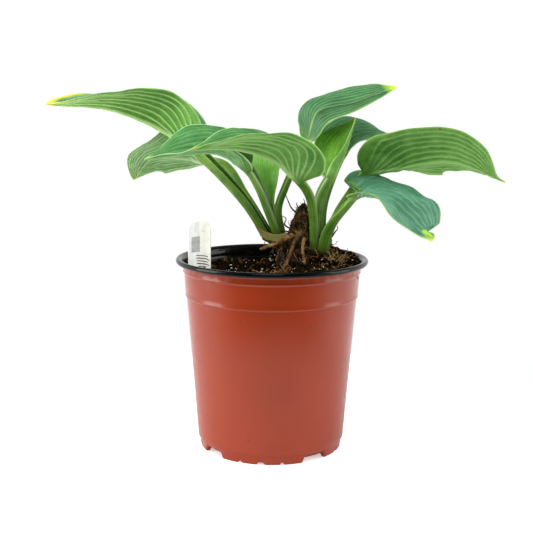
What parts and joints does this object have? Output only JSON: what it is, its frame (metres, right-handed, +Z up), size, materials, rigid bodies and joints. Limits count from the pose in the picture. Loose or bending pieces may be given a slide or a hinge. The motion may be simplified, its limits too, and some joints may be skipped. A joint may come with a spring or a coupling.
{
  "type": "potted hosta plant",
  "caption": "A young hosta with folded blue-green and light green leaves on a high root crown, in a round terracotta-red nursery pot with a black lip and a blank plant label.",
  "frame": {"origin": "centre of the overall box on the ground plane, under the middle of the pot", "axes": "+Z up along the pot, +X towards the long leaf on the right, -Y towards the side with the hanging leaf"},
  "size_m": [0.3977, 0.1653, 0.3118],
  "materials": {
    "pot_plastic": "thin thermoformed plastic, red-brown outside, black lip and inside",
    "peat_soil": "moist crumbly peat and bark mix with white perlite",
    "label_plastic": "thin pale label strip, left blank",
    "root_bark": "brown fibrous root crown and roots",
    "leaf_green": "soft veined leaf, green to blue-green",
    "dry_leaf": "dry papery leaf base"
  },
  "bodies": {
    "root": {"nursery_pot": "pot_plastic", "potting_soil": "peat_soil", "plant_label": "label_plastic", "root_crown": "root_bark", "root_left_thick": "root_bark", "root_front_long": "root_bark", "root_front_right": "root_bark", "root_back": "root_bark", "dry_bract": "dry_leaf", "leaf_upper_left": "leaf_green", "leaf_lower_left": "leaf_green", "leaf_mid_left": "leaf_green", "leaf_front_sweeping": "leaf_green", "leaf_young_left": "leaf_green", "leaf_top": "leaf_green", "leaf_young_right": "leaf_green", "leaf_behind_right": "leaf_green", "leaf_long_right": "leaf_green", "leaf_hanging_right": "leaf_green"}
  },
  "joints": []
}
